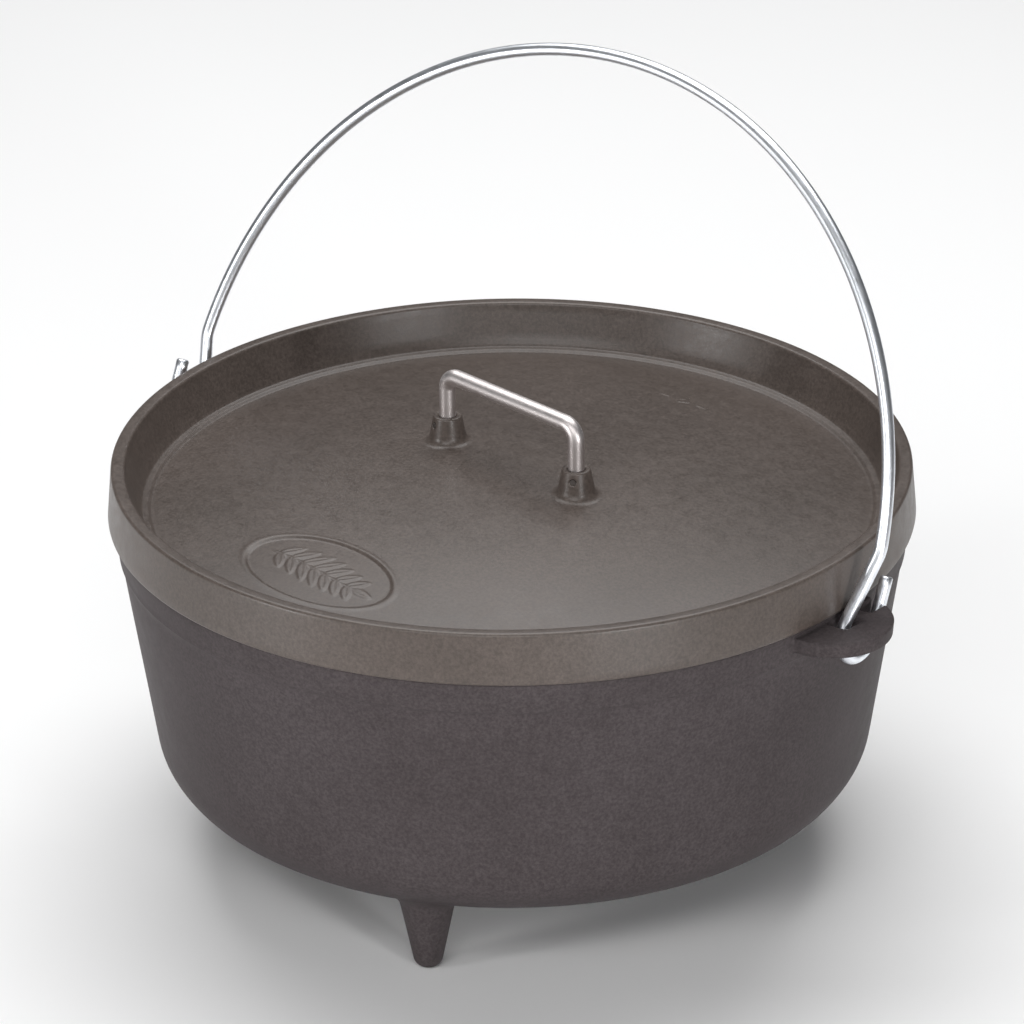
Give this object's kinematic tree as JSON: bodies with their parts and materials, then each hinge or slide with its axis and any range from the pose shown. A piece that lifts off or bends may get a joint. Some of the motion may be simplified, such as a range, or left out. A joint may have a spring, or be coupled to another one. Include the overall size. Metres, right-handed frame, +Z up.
{
  "type": "camp dutch oven",
  "caption": "Round cast pot on legs, with side ears, a wire bail that leans between stops, and a deep-rimmed lid with a rod handle, for cooking over coals.",
  "frame": {"origin": "on the pot's axis, at the ground that the legs stand on", "axes": "+Z up along the pot's axis; +X through one ear; +Y the way the bail leans"},
  "size_m": [0.362, 0.32, 0.3142],
  "materials": {
    "pot_iron": "fine-grained satin casting, warm grey",
    "lid_iron": "fine-grained satin casting, warm brown-grey",
    "handle_steel": "satin rod",
    "pin_steel": "dulled steel",
    "bail_wire": "bright zinc-plated wire"
  },
  "bodies": {
    "pot": {"pot": "pot_iron"},
    "lid": {"lid": "lid_iron", "lid_handle": "handle_steel", "left_pin": "pin_steel", "right_pin": "pin_steel"},
    "bail": {"bail": "bail_wire"}
  },
  "joints": [
    {"name": "bail_swing", "type": "hinge", "parent": "pot", "child": "bail", "pos_m": [0, 0, 0.14035], "axis": [1, 0, 0], "range_deg": [0, 48]},
    {"name": "lid_lift", "type": "slide", "parent": "pot", "child": "lid", "axis": [0, 0, 1], "range_m": [0, 0.03]}
  ]
}
